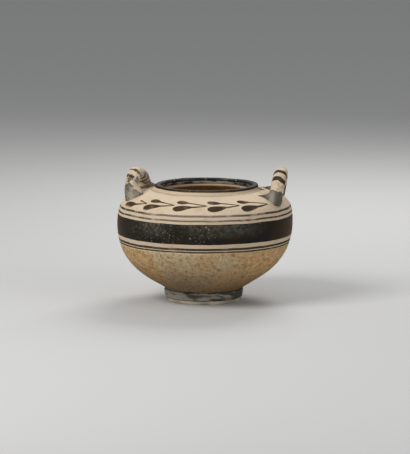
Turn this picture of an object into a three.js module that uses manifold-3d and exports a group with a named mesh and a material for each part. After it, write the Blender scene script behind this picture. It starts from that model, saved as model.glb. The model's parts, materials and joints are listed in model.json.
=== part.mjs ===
// A lebes gamikos: a small wheel-thrown, painted vessel with a ring foot, a deep belly, a wide
// shoulder, a low rim and two upright loop handles. It is one hollow piece of fired clay.
// Units are millimetres, +Z is up, and the vessel stands on z = 0 with its axis near Z.
// The handles stand at +X and -X, each spanning along Y.

import * as THREE from 'three';
import { mergeVertices } from 'three/addons/utils/BufferGeometryUtils.js';
import Module from 'manifold-3d';

// Body
const BODY_RADIUS = 63.1;
const BELLY_HEIGHT = 57; // where the body is widest
const WALL = 4.2;
const FLOOR_HEIGHT = 9.8; // inside, on the axis
const FLOOR_TURN = 3.4; // how far inside the belly's root the floor starts to rise
const BELLY_ROOT = new THREE.Vector2(26.8, 8.7); // where the belly rises from the foot
const BELLY_SWEEP = new THREE.Vector2(10.2, 7.6); // how the belly leaves the foot
const BELLY_FULLNESS = 32.5; // length of the upright tangent below the widest line
const SHOULDER_FULLNESS = 19.8; // and above it
const SHOULDER_SWEEP = new THREE.Vector2(17.7, -5.55); // how the shoulder leaves the rim

// Foot
const FOOT_RADIUS = 27.2; // the plain strip that stands on the ground
const FOOT_TOP_RADIUS = 28.5;
const STRIP_HEIGHT = 2.4;
const GROOVE_HEIGHT = 2.8;
const GROOVE_RADIUS = 26.5;
const FOOT_WALL_BASE = new THREE.Vector2(27.8, 3.3);
const FOOT_WALL_TOP = 7.8;
const REST_RING_INNER = 22.4;
const REST_RING_OUTER = 26.7;
const RECESS_RADIUS = 20.4;
const RECESS_HEIGHT = 4.4; // hollow under the foot
const FOOT_EDGE = 0.5; // small rounding of the resting edge

// Rim and mouth
const RIM_BASE = new THREE.Vector2(37.4, 81.1);
const RIM_RADIUS = 37.1;
const RIM_TOP = 84;
const MOUTH_RADIUS = 33;
const LIP_ROUNDING = 0.9;
const NECK_UNDERSIDE = 77.6; // where the neck turns out under the shoulder
const NECK_ROUNDING = 1.4;

// Handles: a round coil bent to an arch, whose legs end in pointed toes on the shoulder
const HANDLE_SPAN = 38; // between the middles of the two legs
const HANDLE_ROOT = 73.5; // the arch starts inside the wall
const COIL_RADIAL = 5; // half thickness across the wall
const COIL_ALONG = 4.7; // half thickness along the arch's plane
const HANDLES = [
  // radius is from the axis to the middle of the arch's base, and lean is outward from base to crown
  {
    bearing: 0,
    radius: 51.1,
    twist: 3.2,
    lean: 2,
    top: 97.2,
    frontToe: { reach: 13, height: 7.8, crest: 0.3, breadth: 1 },
    backToe: { reach: 14, height: 6, crest: 0.3, breadth: 0.62 },
  },
  {
    bearing: 180,
    radius: 48,
    twist: -7.9,
    lean: 3.3,
    top: 95.8,
    frontToe: { reach: 9, height: 12, crest: 0.55, breadth: 0.45 },
    backToe: { reach: 9.5, height: 6.1, crest: 0.3, breadth: 0.62 },
  },
];

// Toes: reach is from the leg's middle towards the rim, height is that of the clay drawn up round the
// leg, crest is the share of the reach over which it keeps that height, and breadth is against height
const TOE_HEEL = 5.2; // from the leg's middle outwards
const TOE_SPLAY = 4; // degrees that each toe turns away from the handle's other toe
const TOE_WAIST = 0.15; // share of the reach in which the clay thins to a quarter past its crest
const TOE_TIP = 0.9;

// The pot was drawn a little off its axis as it was made: the foot towards -X, the rim towards +X
const OFF_AXIS = 0.95;

// Fineness of the faces
const LATHE_SIDES = 56;
const OUTER_BELLY_STEPS = 10;
const OUTER_SHOULDER_STEPS = 10;
const INNER_STEPS = 8;
const FLOOR_STEPS = 4;
const CORNER_STEPS = 2;
const ARCH_STEPS = 20;
const COIL_SIDES = 12;
const TOE_SIDES = 10;
const TOE_STEPS = 4;
const SHOULDER_SAMPLES = 100;
const MERGE_DISTANCE = 1e-4;

const FIRED_CLAY = { color: 0xc9b394, roughness: 0.75, metalness: 0 };

const wasm = await Module();
wasm.setup();

const point = (r, z) => new THREE.Vector2(r, z);

function corner(from, control, to) {
  return new THREE.QuadraticBezierCurve(from, control, to).getPoints(CORNER_STEPS);
}

// The two curves of the outside: the belly up to the widest line, and the shoulder from there to the rim.
function bellyCurve() {
  return new THREE.CubicBezierCurve(
    BELLY_ROOT,
    BELLY_ROOT.clone().add(BELLY_SWEEP),
    point(BODY_RADIUS, BELLY_HEIGHT - BELLY_FULLNESS),
    point(BODY_RADIUS, BELLY_HEIGHT),
  );
}

function shoulderCurve() {
  return new THREE.CubicBezierCurve(
    point(BODY_RADIUS, BELLY_HEIGHT),
    point(BODY_RADIUS, BELLY_HEIGHT + SHOULDER_FULLNESS),
    RIM_BASE.clone().add(SHOULDER_SWEEP),
    RIM_BASE,
  );
}

// Height of the outside of the shoulder at a distance from the axis.
function shoulderHeight(radius) {
  const points = shoulderCurve().getPoints(SHOULDER_SAMPLES);
  const above = points.findIndex((p) => p.x <= radius);
  const inner = points[above];
  const outer = points[above - 1];
  const share = (radius - outer.x) / (inner.x - outer.x);
  return outer.y + share * (inner.y - outer.y);
}

// Points of a curve moved into the wall by its thickness.
function insideOf(curve, steps) {
  const points = [];
  for (let i = 0; i <= steps; i += 1) {
    const p = curve.getPoint(i / steps);
    const along = curve.getTangent(i / steps);
    points.push(point(p.x - along.y * WALL, p.y + along.x * WALL));
  }
  return points;
}

function footProfile() {
  return [
    point(0, RECESS_HEIGHT),
    ...corner(
      point(RECESS_RADIUS, RECESS_HEIGHT),
      point(REST_RING_INNER, RECESS_HEIGHT),
      point(REST_RING_INNER, 0),
    ),
    point(REST_RING_OUTER, 0),
    point(FOOT_RADIUS, FOOT_EDGE),
    point(FOOT_RADIUS, STRIP_HEIGHT),
    point(GROOVE_RADIUS, GROOVE_HEIGHT),
    FOOT_WALL_BASE,
    ...corner(
      point(FOOT_TOP_RADIUS, FOOT_WALL_TOP),
      point(FOOT_TOP_RADIUS, BELLY_ROOT.y),
      BELLY_ROOT,
    ),
  ];
}

// The vessel's outside as a filled body, closed across the mouth.
function outsideProfile() {
  return [
    ...footProfile(),
    ...bellyCurve().getPoints(OUTER_BELLY_STEPS).slice(1),
    ...shoulderCurve().getPoints(OUTER_SHOULDER_STEPS).slice(1),
    ...corner(
      point(RIM_RADIUS, RIM_TOP - LIP_ROUNDING),
      point(RIM_RADIUS, RIM_TOP),
      point(RIM_RADIUS - LIP_ROUNDING, RIM_TOP),
    ),
    point(0, RIM_TOP),
  ];
}

// The empty space inside, carried up through the mouth and past the rim.
function cavityProfile() {
  const belly = insideOf(bellyCurve(), INNER_STEPS);
  const shoulder = insideOf(shoulderCurve(), INNER_STEPS);
  const floorTurn = point(belly[0].x - FLOOR_TURN, FLOOR_HEIGHT);
  const floor = new THREE.QuadraticBezierCurve(point(0, FLOOR_HEIGHT), floorTurn, belly[0]);
  const lipRadius = MOUTH_RADIUS + LIP_ROUNDING;
  const aboveRim = RIM_TOP + WALL;
  return [
    ...floor.getPoints(FLOOR_STEPS),
    ...belly.slice(1),
    ...shoulder.slice(1),
    ...corner(
      point(MOUTH_RADIUS + NECK_ROUNDING, NECK_UNDERSIDE),
      point(MOUTH_RADIUS, NECK_UNDERSIDE),
      point(MOUTH_RADIUS, NECK_UNDERSIDE + NECK_ROUNDING),
    ),
    ...corner(
      point(MOUTH_RADIUS, RIM_TOP - LIP_ROUNDING),
      point(MOUTH_RADIUS, RIM_TOP),
      point(lipRadius, RIM_TOP),
    ),
    point(lipRadius, aboveRim),
    point(0, aboveRim),
  ];
}

// A profile of (radius, height) points turned around Z.
function turned(profile) {
  return new THREE.LatheGeometry(profile, LATHE_SIDES).rotateX(Math.PI / 2);
}

// The middle line of a handle: half an ellipse standing along Y and leaning towards +X.
class HandleArch extends THREE.Curve {
  constructor(rise, lean) {
    super();
    this.rise = rise;
    this.lean = lean;
  }

  getPoint(t, target = new THREE.Vector3()) {
    const angle = Math.PI * t;
    const height = Math.sin(angle);
    return target.set(this.lean * height, (-HANDLE_SPAN / 2) * Math.cos(angle), this.rise * height);
  }
}

function handleArch({ top, lean }) {
  const section = new THREE.Shape();
  section.absellipse(0, 0, COIL_ALONG, COIL_RADIAL, 0, 2 * Math.PI);
  return new THREE.ExtrudeGeometry(section, {
    steps: ARCH_STEPS,
    curveSegments: COIL_SIDES / 2, // an ellipse takes two for each
    extrudePath: new HandleArch(top - COIL_ALONG - HANDLE_ROOT, lean),
  });
}

// One toe: a drop of clay round the leg's foot, drawn out along the shoulder to a point near the rim.
// It points away from its heading, which is the angle that the handle faces outwards.
function toe(leg, heading, { reach, height, crest, breadth }) {
  const top = point(height, TOE_TIP);
  const round = new THREE.CubicBezierCurve(
    point(0, -TOE_HEEL),
    point(height / 2, -TOE_HEEL),
    point(height, -TOE_HEEL / 2),
    top,
  );
  const drawn = new THREE.CubicBezierCurve(
    top,
    point(height, reach * crest),
    point(height / 4, reach * (crest + TOE_WAIST)),
    point(TOE_TIP, reach),
  );
  const outline = [
    ...round.getPoints(TOE_STEPS),
    ...drawn.getPoints(TOE_STEPS).slice(1),
    point(0, reach + TOE_TIP),
  ];
  const tip = point(leg.x - reach * Math.cos(heading), leg.y - reach * Math.sin(heading));
  const footHeight = shoulderHeight(Math.hypot(leg.x, leg.y));
  const slope = Math.atan2(shoulderHeight(tip.length()) - footHeight, reach);
  return new THREE.LatheGeometry(outline, TOE_SIDES)
    .scale(breadth, 1, 1)
    .rotateZ(Math.PI / 2)
    .rotateY(slope)
    .rotateZ(heading)
    .translate(leg.x, leg.y, footHeight);
}

// The solid pieces of one handle, standing in place on the shoulder.
function handleParts(handle) {
  const bearing = THREE.MathUtils.degToRad(handle.bearing);
  const twist = THREE.MathUtils.degToRad(handle.twist);
  const splay = THREE.MathUtils.degToRad(TOE_SPLAY);
  const place = new THREE.Matrix4()
    .makeRotationZ(bearing)
    .multiply(new THREE.Matrix4().makeTranslation(handle.radius, 0, HANDLE_ROOT))
    .multiply(new THREE.Matrix4().makeRotationZ(twist));
  const toes = [-HANDLE_SPAN / 2, HANDLE_SPAN / 2].map((along) => {
    const leg = new THREE.Vector3(0, along, 0).applyMatrix4(place);
    const shape = leg.y < 0 ? handle.frontToe : handle.backToe;
    return toe(leg, bearing + twist - Math.sign(along) * splay, shape);
  });
  return [handleArch(handle).applyMatrix4(place), ...toes];
}

// A closed geometry as a solid, with its vertices shared and its empty triangles dropped.
function solid(geometry) {
  geometry.deleteAttribute('normal');
  geometry.deleteAttribute('uv');
  const merged = mergeVertices(geometry, MERGE_DISTANCE);
  const corners = merged.index.array;
  const triangles = [];
  for (let i = 0; i < corners.length; i += 3) {
    const [a, b, c] = corners.slice(i, i + 3);
    if (a !== b && b !== c && c !== a) triangles.push(a, b, c);
  }
  return new wasm.Manifold(new wasm.Mesh({
    numProp: 3,
    vertProperties: merged.attributes.position.array,
    triVerts: new Uint32Array(triangles),
  }));
}

function geometryOf(body) {
  const mesh = body.getMesh();
  const geometry = new THREE.BufferGeometry();
  geometry.setAttribute('position', new THREE.BufferAttribute(mesh.vertProperties, 3));
  geometry.setIndex(new THREE.BufferAttribute(mesh.triVerts, 1));
  return geometry;
}

function drawnOffAxis(geometry) {
  const positions = geometry.attributes.position;
  for (let i = 0; i < positions.count; i += 1) {
    const rise = positions.getZ(i) / BELLY_HEIGHT;
    positions.setX(i, positions.getX(i) + OFF_AXIS * (rise * rise - 1));
  }
  geometry.computeVertexNormals();
  return geometry;
}

function vessel() {
  let clay = solid(turned(outsideProfile()));
  for (const part of HANDLES.flatMap(handleParts)) {
    clay = clay.add(solid(part));
  }
  const hollow = clay.subtract(solid(turned(cavityProfile())));
  const mesh = new THREE.Mesh(
    drawnOffAxis(geometryOf(hollow)),
    new THREE.MeshStandardMaterial(FIRED_CLAY),
  );
  mesh.name = 'vessel';
  return mesh;
}

const lebes = new THREE.Group();
lebes.add(vessel());

export default lebes;
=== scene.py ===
import json
import math

import bpy
from mathutils import Matrix, Vector
from mathutils.geometry import interpolate_bezier

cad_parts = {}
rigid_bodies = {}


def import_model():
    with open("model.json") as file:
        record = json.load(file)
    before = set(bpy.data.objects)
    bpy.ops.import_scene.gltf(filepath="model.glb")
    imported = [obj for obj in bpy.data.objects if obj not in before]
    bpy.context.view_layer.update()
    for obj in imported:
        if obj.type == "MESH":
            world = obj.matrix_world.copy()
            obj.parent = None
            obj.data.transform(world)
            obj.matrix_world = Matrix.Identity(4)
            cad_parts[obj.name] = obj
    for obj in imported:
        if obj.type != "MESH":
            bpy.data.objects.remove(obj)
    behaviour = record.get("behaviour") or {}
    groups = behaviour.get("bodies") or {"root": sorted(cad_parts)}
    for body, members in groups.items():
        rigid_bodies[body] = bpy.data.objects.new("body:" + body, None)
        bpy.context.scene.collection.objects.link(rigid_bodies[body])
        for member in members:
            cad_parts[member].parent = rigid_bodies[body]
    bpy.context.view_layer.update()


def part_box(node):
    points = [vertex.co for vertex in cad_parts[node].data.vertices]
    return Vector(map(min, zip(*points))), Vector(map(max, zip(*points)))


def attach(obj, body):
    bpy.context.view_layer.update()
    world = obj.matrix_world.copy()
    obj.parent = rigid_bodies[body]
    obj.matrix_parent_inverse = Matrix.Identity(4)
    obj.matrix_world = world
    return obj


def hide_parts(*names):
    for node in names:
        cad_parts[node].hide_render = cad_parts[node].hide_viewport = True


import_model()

bl_info = {
    "name": "Painted clay vessel",
    "version": (1, 0, 0),
    "blender": (4, 5, 0),
    "location": "View3D > Sidebar > Vessel",
    "description": "Throws, handles and paints a lebes gamikos over its packed solid",
    "category": "Object",
}

MM = 0.001
VESSEL_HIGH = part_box("vessel")[1]

# Curves of the thrown wall, as (radius, height)
BELLY_ROOT = Vector((26.8, 8.7)) * MM
BELLY_SWEEP = Vector((10.2, 7.6)) * MM
BELLY_FULLNESS = 32.5 * MM
SHOULDER_FULLNESS = 19.8 * MM
SHOULDER_SWEEP = Vector((17.7, -5.55)) * MM
FLOOR_HEIGHT = 9.8 * MM
FLOOR_TURN = 3.4 * MM
OFF_AXIS = 0.95 * MM  # the foot leans to -X and the rim to +X by about this much

# Foot
FOOT_TOP_RADIUS = 28.5 * MM
FOOT_WALL_BASE = Vector((27.8, 3.3)) * MM
FOOT_WALL_TOP = 7.8 * MM
STRIP_HEIGHT = 2.4 * MM
GROOVE = Vector((26.5, 2.8)) * MM
REST_RING_INNER = 22.4 * MM
REST_RING_OUTER = 26.7 * MM
RECESS_RADIUS = 20.4 * MM
RECESS_HEIGHT = 4.4 * MM
FOOT_EDGE = 0.5 * MM

# Rim
RIM_BASE = Vector((37.4, 81.1)) * MM
LIP_ROUNDING = 0.9 * MM
NECK_UNDERSIDE = 77.6 * MM
NECK_ROUNDING = 1.4 * MM

# Handles
HANDLE_ROOT = 73.5 * MM
TOE_HEEL = 5.2 * MM
TOE_SPLAY = 4  # degrees that each toe turns away from the handle's other toe
TOE_WAIST = 0.15  # from the end of the crest to where the toe has thinned, as a share of its reach
TOE_TIP = 0.9 * MM
LUTING_DEPTH = 2.3 * MM  # how deep a handle's foot is set into the wall
# Of a toe, crest is the share of its reach over which it keeps its height, and breadth is against height
HANDLES = (
    {
        "name": "right_handle",
        "bearing": 0,
        "radius": 51.1 * MM,
        "twist": 3.2,
        "lean": 2 * MM,
        "top": 97.2 * MM,
        "front_toe": {"reach": 13 * MM, "height": 7.8 * MM, "crest": 0.3, "breadth": 1.0},
        "back_toe": {"reach": 14 * MM, "height": 6 * MM, "crest": 0.3, "breadth": 0.62},
        "wear": 0.25,
    },
    {
        "name": "left_handle",
        "bearing": 180,
        "radius": 48 * MM,
        "twist": -7.9,
        "lean": 3.3 * MM,
        "top": 95.8 * MM,
        "front_toe": {"reach": 9 * MM, "height": 14 * MM, "crest": 0.62, "breadth": 0.42},
        "back_toe": {"reach": 9.5 * MM, "height": 6.1 * MM, "crest": 0.3, "breadth": 0.62},
        "wear": 0.8,
    },
)

# Fineness of the meshes
WHEEL_SIDES = 320
OUTSIDE_SPACING = 0.95 * MM
FOOT_SPACING = 0.5 * MM
RIM_SPACING = 0.55 * MM
INSIDE_SPACING = 2.6 * MM
CURVE_SAMPLES = 200
CORNER_SAMPLES = 12
COIL_SIDES = 32
ARCH_STEPS = 48
TOE_SIDES = 24
TOE_SPACING = 0.8 * MM
HANDLE_GRAIN = 0.55 * MM
MERGE_DISTANCE = 0.005 * MM
WIPING = 10  # passes of a wet finger over a handle
WIPING_PRESSURE = 0.5
JOINT_RINGS = 2
JOINT_WIPING = 6
SMOOTH_ANGLE = 40
PATCH_SIZE = 10 * MM  # of the plane that is drawn together to a profile's first point

# Unevenness of the clay
HANDWORK_GRAIN = 26 * MM
HANDWORK_DEPTH = 0.6 * MM
GRIT_GRAIN = 1.5 * MM
GRIT_DEPTH = 0.3 * MM
FINGER_GRAIN = 9 * MM
FINGER_DEPTH = 0.7 * MM

# Stage
FLOOR_SIZE = 12.0
FLOOR_ROUGHNESS = 0.8
SKY_STRENGTH = 0.36
KEY_PLACE = Vector((-0.55, -0.6, 0.75))
KEY_SIZE = 0.5
FILL_PLACE = Vector((0.8, -0.5, 0.4))
FILL_SIZE = 0.6
BACK_PLACE = Vector((0.1, 0.6, 0.6))
BACK_SIZE = 0.4

# What is painted on the wheel, as heights in millimetres from and to
LOWER_LINES = ((42.6, 43.75), (44.4, 46.05))
UPPER_LINES = ((64.95, 66.2), (68.15, 69.55))
BODY_BAND = (48.85, 63.25)
LIP_PAINT_HEIGHT = 82.5
LIP_TOP_HEIGHT = 83.7
COLLAR_BLACK = 82.0
COLLAR_WORN = 80.2
COLLAR_LINE = (79.75, 80.2)
COLLAR_STRIP = (77.6, 79.75)
FOOT_PAINT = (2.6, 9.0)
BARE_CLAY_TOP = 42.4
# Painted shade, not painted on the wheel: heights of the upright wall that is darkened a little
SHADED_WALL_HEIGHTS = (43.0, 70.0)
RUST_FREE_SIDE = 8.0  # towards -X from the middle
RIM_LINE = (38.4, 40.2)  # radii, in millimetres
RIM_SIDE = (78.0, 79.0)
RIM_SMUDGE = (40.0, 3.0, 80.8)
LINE_EDGE = 0.15
SLIP_EDGE = 0.6
STRIP_EDGE = 0.1
BARE_EDGE = 1.0
COLLAR_EDGE = 0.3
LIP_TOP_EDGE = 0.6

# The branch on the shoulder, in degrees round from the front and millimetres from the axis
LEAF_START = -66.4
LEAF_SPACING = 24.9
LEAF_PAIRS = 5
STEM_RADIUS = 54.7
STEM_DROOP = 0.0006  # millimetres outwards for each squared degree from the middle of the row
OUTER_LEAF = {"middle": 2.9, "half_width": 2.2, "blade": 0.66}
INNER_LEAF = {"middle": -4.4, "half_width": 2.5, "blade": 0.5}
FIRST_INNER_STALK = 0.57  # of the first pair's inner leaf only this last part shows, past the handle's foot
LEAF_FULLEST = 0.32  # share of a blade's length at which it is widest
LEAF_ROUNDNESS = 0.5
LEAF_BEND = 1.4
LEAF_STALK = 0.38
LEAF_STALK_TAPER = 0.8
LEAF_EDGE = 0.2
ROW_START = 0.02  # of the first pair's spacing
ROW_SWAY = 3.0
STEM_SWAY = 0.3
BRANCH_FOOT = (70.0, 72.0)

# The rings round each handle's coil, in degrees up the arch
HANDLE_RINGS = ((45, 55), (66.5, 76.5), (103.5, 113.5), (125, 135))
HANDLE_LEGS = ((-60, 26), (154, 240))
RING_SLANT = 0.9  # degrees for each millimetre outwards
RING_SWAY = 7.0
RING_SWAY_WORN = 14.0
RING_ENDS = (-4.6, -2.8)  # millimetres outwards from the middle of the coil
TOE_PAINT = (-4.5, -7.5)
INNER_DIRT = (0.5, -4.0)
# The painted highlight down each leg, stronger on the leg's outer side, which is also rubbed
LEG_RIDGE = (21.0, 23.2)  # millimetres along the handle
LEG_STREAK_PLACE = 1.5
LEG_STREAK = (3.4, 0.4)
LEG_STREAK_SHARES = (0.35, 0.4)

# Patterns: scale for each millimetre, detail and roughness
WHEEL_SWAY = (0.06, 2)
MOTTLE = (0.07, 5, 0.6)
GRAIN = (0.75, 3, 0.6)
PATCHES = (0.04, 4, 0.55)
CRUMBS = (0.36, 4, 0.65)
RUBBING = (0.12, 4, 0.6)
FLECKS = (0.6, 3, 0.6)
KNOCKS = (0.05, 2)
STREAKS = (1.0, 4, 0.6)
FOOT_STRETCH = (0.09, 0.09, 0.35)
INSIDE_SWAY = (0.08, 2)
INSIDE_MOTTLE = (0.09, 5, 0.6)
COLLAR_STRETCH = (0.12, 0.12, 0.6)
NICK_AND_GLINT_NOISE = (0.4, 3)
INSIDE_RELIEF = (0.5, 3)
HANDLE_MOTTLE = (0.24, 5, 0.66)
HANDLE_SWAY = (0.2, 3)
HANDLE_RUBBING = (0.15, 4, 0.6)
HANDLE_BLOTCHES = (0.22, 3)
HANDLE_RELIEF = (0.6, 3)
NOISE_MIDDLE = 0.5

# Effects: the value at which one starts, the value at which it is full, and its share where it isn't whole
RUST_ASIDE = 0.0045  # for each millimetre from the side that is free of it
RUST_UPWARDS = -0.003
RUST = (0.43, 0.69)
PALE_CRUMBS = (0.5, 0.68, 0.6)
DARK_CRUMBS = (0.52, 0.3, 0.7)
DARK_GRAIN = (0.5, 0.32, 0.45)
# Painted shade under the belly: from this height down to the foot it darkens towards the colour of the pits
LOW_SHADE_SWAY = 24.0
LOW_SHADE = (36.0, 10.0, 0.72)
SOILED_SLIP = (0.48, 0.78)
SOIL_SPECKS = (0.5, 0.72, 0.45)
# Share of the painted shade on the upright wall below the shoulder
WALL_SHADE_SHARE = 0.16
HEIGHT_SWAY = 0.9
RUBBED = (0.5, 0.66)
FLECKED = (0.57, 0.74)
KNOCKED_FROM_LEFT = (-58.0, -34.0)  # degrees from the front
KNOCKED_FROM_RIGHT = (22.0, -4.0)
KNOCKED_FRONT_SHARE = 0.75
KNOCKED_ELSEWHERE = (0.56, 0.66)
CHIP_SHARE = 0.75
RIM_LINE_STRENGTH = (0.6, 0.4)  # where the paint is whole, and what it loses where it is rubbed
LOWER_LINE_STRENGTH = (0.96, 0.25)
UPPER_LINE_STRENGTH = (0.92, 0.35)
LEAF_STRENGTH = (0.97, 0.12)
RING_STRENGTH = (0.96, 0.95)
LEG_STRENGTH = (0.94, 0.25)
HANDLED = (48.0, 14.0)
HANDLED_SHARE = 0.5
FADING_SHARE = 0.3
THIN_LINES = (0.35, 0.58)
THIN_BAND = (0.35, 0.7, 0.3)
SHEEN_SIDES = (62.0, 18.0)
SHEEN_HEIGHTS = (51.0, 60.0)
SHEEN_PATCHES = (0.3, 0.6)
SHEEN_SPECKS = (0.4, 0.6)
SHEEN_SPECK_SHARE = 0.9
SHEEN_EVEN_SHARE = 0.4
LIP_BROWN = 0.6
BROWN_SIDES = (45.0, 80.0)
BROWN_SHARE = 0.8
SMUDGE_SWAY = 12.0
SMUDGE = (10.0, 8.6, 0.75)
# Painted light: the foot's film gets paler for each millimetre towards -X, the side the key lamp lights
FOOT_PAINTED_LIGHT = -0.005
FOOT_FILM = (0.42, 0.58)
STRIP_FILM = (0.3, 0.6)
INSIDE_HEIGHT_SWAY = 0.6
PITTED_WASH = (0.4, 0.7, 0.6)
TANNED_STRIP = (0.3, 0.7)
COLLAR_RUBBED = (0.4, 0.6)
GREY_COLLAR = (0.55, 0.7)
# Cream flecks round the collar's top: chips in the black and painted glints of light
NICK_AND_GLINT_EDGES = (0.65, 0.71)
NICK_AND_GLINT_HEIGHTS = (82.2, 82.8)
NICK_AND_GLINT_SHARE = 0.8
HANDLE_SOIL = (0.42, 0.75)
HANDLE_THIN = (0.4, 0.62)
HANDLE_RUBBED = (0.74, 0.79)
HANDLE_RUBBED_WORN = -0.26
BLOTCHED = (0.54, 0.58)
LEG_FILM_WORN = 0.2
LEG_FILM = (0.5, 0.7, 0.6)
TOE_LOSS = 0.2
LEG_MARKS = (0.46, 0.36)
LEG_MARK_SHARE = 0.8
DIRT_SHARE = 0.75
DIRT_PATCHES = (0.35, 0.6)

# Finish
PAINT_SHINE = 0.06
COLLAR_SHINE = 0.45
CLAY_ROUGHNESS = 0.86
BAND_ROUGHNESS = 0.5
FOOT_GLOSS = 0.6
WASH_ROUGHNESS = 0.8
COLLAR_ROUGHNESS = 0.25
HANDLE_ROUGHNESS = 0.82
LEG_ROUGHNESS = 0.55
CRUMB_RELIEF = 2.0
SLIP_RELIEF = 0.1
BARE_RELIEF = 0.9
CLAY_RELIEF_DEPTH = 0.5 * MM
SLIP_RELIEF_DEPTH = 0.15 * MM


def length(name, description, default):
    return bpy.props.FloatProperty(
        name=name,
        description=description,
        default=default,
        min=0.0,
        precision=5,
        unit="LENGTH",
    )


def colour(name, description, default):
    return bpy.props.FloatVectorProperty(
        name=name,
        description=description,
        default=default,
        size=3,
        min=0.0,
        max=1.0,
        subtype="COLOR",
    )


def angle(name, description, degrees):
    return bpy.props.FloatProperty(
        name=name,
        description=description,
        default=math.radians(degrees),
        subtype="ANGLE",
        unit="ROTATION",
    )


def power(name, description, default):
    return bpy.props.FloatProperty(
        name=name,
        description=description,
        default=default,
        min=0.0,
        unit="POWER",
    )


class VesselSizes(bpy.types.PropertyGroup):
    """Sizes of the thrown body and of its handles"""

    body_radius: length("Body radius", "Half the body's greatest width", VESSEL_HIGH.y)
    belly_height: length("Belly height", "Height at which the body is widest", 57 * MM)
    wall: length("Wall", "Thickness of the thrown wall", 4.2 * MM)
    foot_radius: length("Foot radius", "Radius of the strip that stands on the ground", 27.2 * MM)
    rim_radius: length("Rim radius", "Outer radius of the lip", 37.1 * MM)
    rim_top: length("Rim top", "Height of the lip", 84 * MM)
    mouth_radius: length("Mouth radius", "Radius of the open mouth", 33 * MM)
    handle_span: length("Handle span", "Distance between the middles of a handle's legs", 38 * MM)
    coil_radial: length("Coil depth", "Half thickness of a handle's coil, across the wall", 5 * MM)
    coil_along: length("Coil width", "Half thickness of a handle's coil, along the wall", 4.7 * MM)


class VesselColours(bpy.types.PropertyGroup):
    """Colours of the clay and of what is painted on it"""

    cream: colour("Cream slip", "Pale slip of the shoulder and handles", (0.59, 0.472, 0.338))
    soiled: colour("Soiled slip", "Greyer and browner slip where dirt has settled", (0.47, 0.365, 0.25))
    tan: colour("Bare clay", "Clay of the lower belly", (0.52, 0.385, 0.225))
    rust: colour("Rusty clay", "Redder patches of the lower belly", (0.52, 0.32, 0.14))
    # Also the colour of the painted shade low on the belly
    pits_and_shade: colour("Pits", "Dirt in the pits of the clay", (0.15, 0.1, 0.055))
    black: colour("Black paint", "Thick paint of the bands", (0.012, 0.011, 0.009))
    # Also the colour of the painted sheen of light on the band
    grey: colour("Worn paint", "Paint rubbed grey", (0.07, 0.065, 0.052))
    brown: colour("Thin paint", "Paint where it is thin", (0.042, 0.023, 0.008))
    # Also the colour of the painted shade on the upright wall below the shoulder
    faded_paint_and_shade: colour("Faded paint", "Paint rubbed almost away", (0.26, 0.215, 0.18))
    chalk: colour("Chalky film", "Pale film over the foot, the legs and the chips", (0.3, 0.27, 0.225))
    inside: colour("Inside wash", "Brown wash of the inside", (0.5, 0.32, 0.16))


class VesselStage(bpy.types.PropertyGroup):
    """The floor, the lamps and the camera"""

    floor_colour: colour("Floor", "Colour of the plain floor", (0.52, 0.515, 0.5))
    sky_colour: colour("Surroundings", "Colour of the light from all round", (0.9, 0.92, 0.95))
    azimuth: angle("Camera azimuth", "How far the camera stands towards +X", 7.5)
    elevation: angle("Camera elevation", "How far the camera looks down", 8.3)
    distance: length("Camera distance", "From the camera to the middle of the vessel", 3.0)
    view_height: length("View height", "Height of what the picture shows at the vessel", 326.9 * MM)
    target_height: length("Target height", "Height of the point in the middle of the picture", 52.7 * MM)
    key_power: power("Key lamp", "Power of the lamp at the upper left", 8.5)
    fill_power: power("Fill lamp", "Power of the lamp at the right", 2.2)
    back_power: power("Back lamp", "Power of the lamp above and behind", 3.5)


def deselect_all():
    if bpy.context.object and bpy.context.object.mode != "OBJECT":
        bpy.ops.object.mode_set(mode="OBJECT")
    bpy.ops.object.select_all(action="DESELECT")


def pick(active, *others):
    """Selects these objects alone and makes the first one active."""
    deselect_all()
    for each in (active, *others):
        each.select_set(True)
    bpy.context.view_layer.objects.active = active


def apply_modifier(piece, kind, name, **settings):
    """Adds a modifier with these settings and applies it."""
    pick(piece)
    modifier = piece.modifiers.new(name, kind)
    for key, value in settings.items():
        setattr(modifier, key, value)
    bpy.ops.object.modifier_apply(modifier=modifier.name)


def cubic(start, start_pull, end_pull, end):
    return interpolate_bezier(start, start_pull, end_pull, end, CURVE_SAMPLES)


def rounded(start, corner, end):
    """A corner turned in one even bend."""
    pull = 2 / 3
    start_pull = start.lerp(corner, pull)
    end_pull = end.lerp(corner, pull)
    return interpolate_bezier(start, start_pull, end_pull, end, CORNER_SAMPLES)


def evenly(points, spacing):
    """Points at even steps along a line of points, with both ends kept."""
    lengths = [(after - before).length for before, after in zip(points, points[1:])]
    count = max(1, round(sum(lengths) / spacing))
    step = sum(lengths) / count
    placed = [points[0]]
    reached = 0.0
    for before, after, run in zip(points, points[1:], lengths):
        while len(placed) < count and reached + run >= step * len(placed):
            placed.append(before.lerp(after, (step * len(placed) - reached) / run))
        reached += run
    return placed + [points[-1]]


def chained(*stretches):
    """One line from stretches that each start where the last one ends."""
    line = list(stretches[0])
    for stretch in stretches[1:]:
        line.extend(stretch[1:])
    return line


def belly_curve(sizes):
    widest = Vector((sizes.body_radius, sizes.belly_height))
    return cubic(BELLY_ROOT, BELLY_ROOT + BELLY_SWEEP, widest - Vector((0, BELLY_FULLNESS)), widest)


def shoulder_curve(sizes):
    widest = Vector((sizes.body_radius, sizes.belly_height))
    return cubic(widest, widest + Vector((0, SHOULDER_FULLNESS)), RIM_BASE + SHOULDER_SWEEP, RIM_BASE)


def shoulder_height(sizes, radius):
    """Height of the outside of the shoulder at a distance from the axis."""
    points = shoulder_curve(sizes)
    for outer, inner in zip(points, points[1:]):
        if inner.x <= radius:
            return outer.y + (inner.y - outer.y) * (radius - outer.x) / (inner.x - outer.x)
    raise ValueError("the shoulder doesn't reach that far in")


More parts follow.
